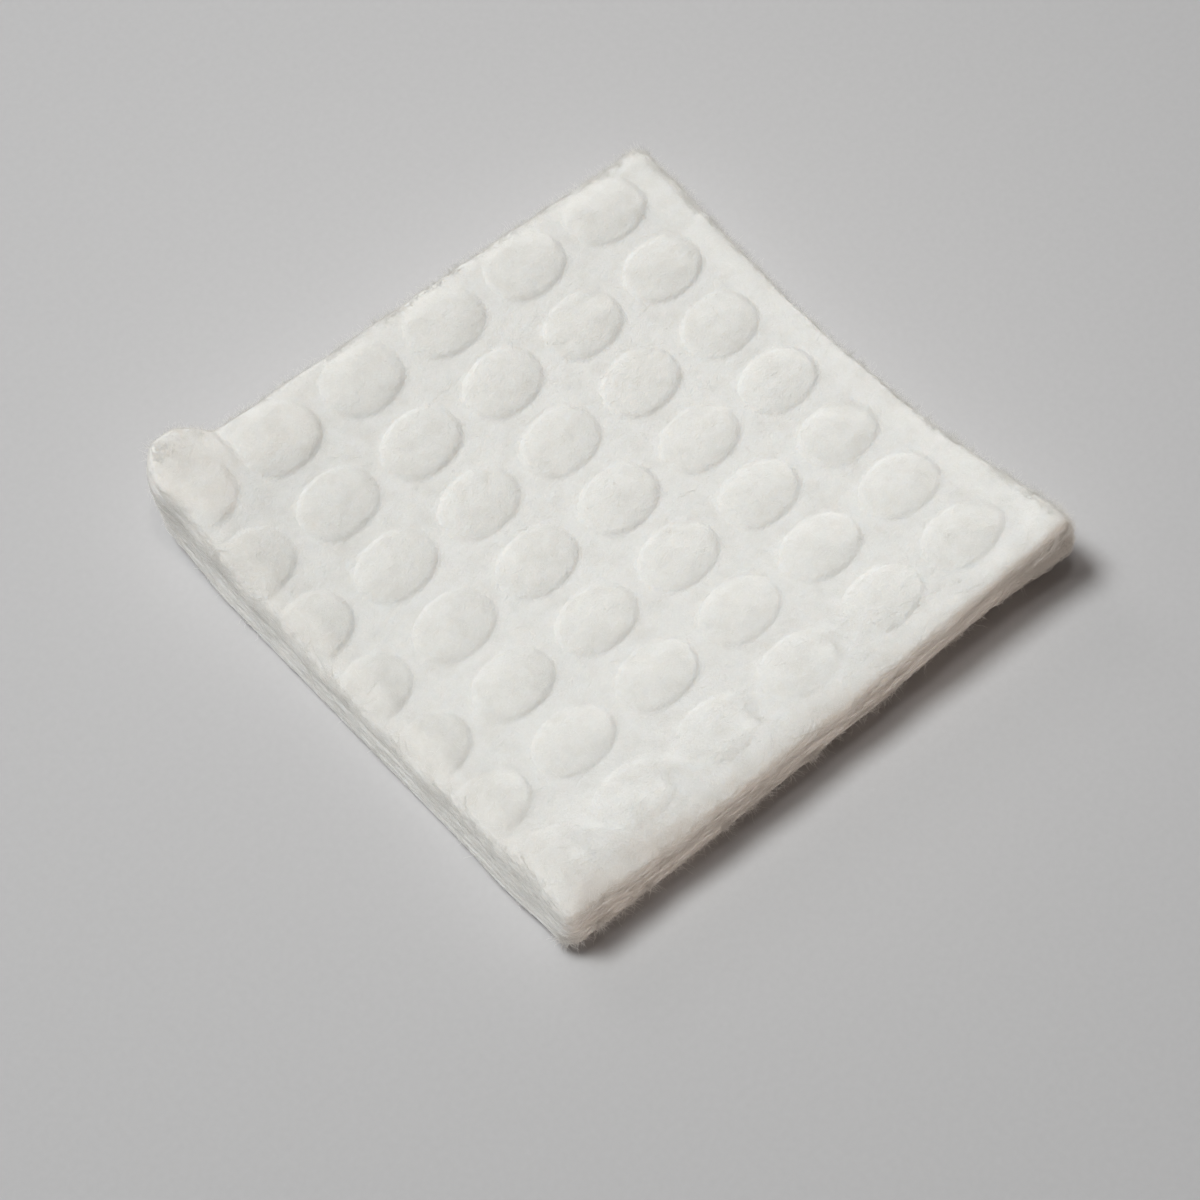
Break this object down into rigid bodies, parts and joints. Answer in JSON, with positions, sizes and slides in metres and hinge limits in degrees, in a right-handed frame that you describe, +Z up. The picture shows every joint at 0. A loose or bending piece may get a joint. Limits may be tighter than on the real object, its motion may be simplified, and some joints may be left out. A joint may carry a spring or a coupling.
{
  "type": "cotton pad",
  "caption": "Square soft cotton pad of pressed webs, with rows of raised oval pillows on its top face and curled edges.",
  "frame": {"origin": "middle of the pad's outline, on the surface that the pad lies on", "axes": "+Z up through the pad's thickness, X and Y along its sides, with the cut-through pillows along the -X edge"},
  "size_m": [0.062, 0.0604, 0.0095],
  "materials": {
    "cotton": "matt, fuzzy white cotton fibre"
  },
  "bodies": {
    "root": {"cotton_pad": "cotton"}
  },
  "joints": []
}
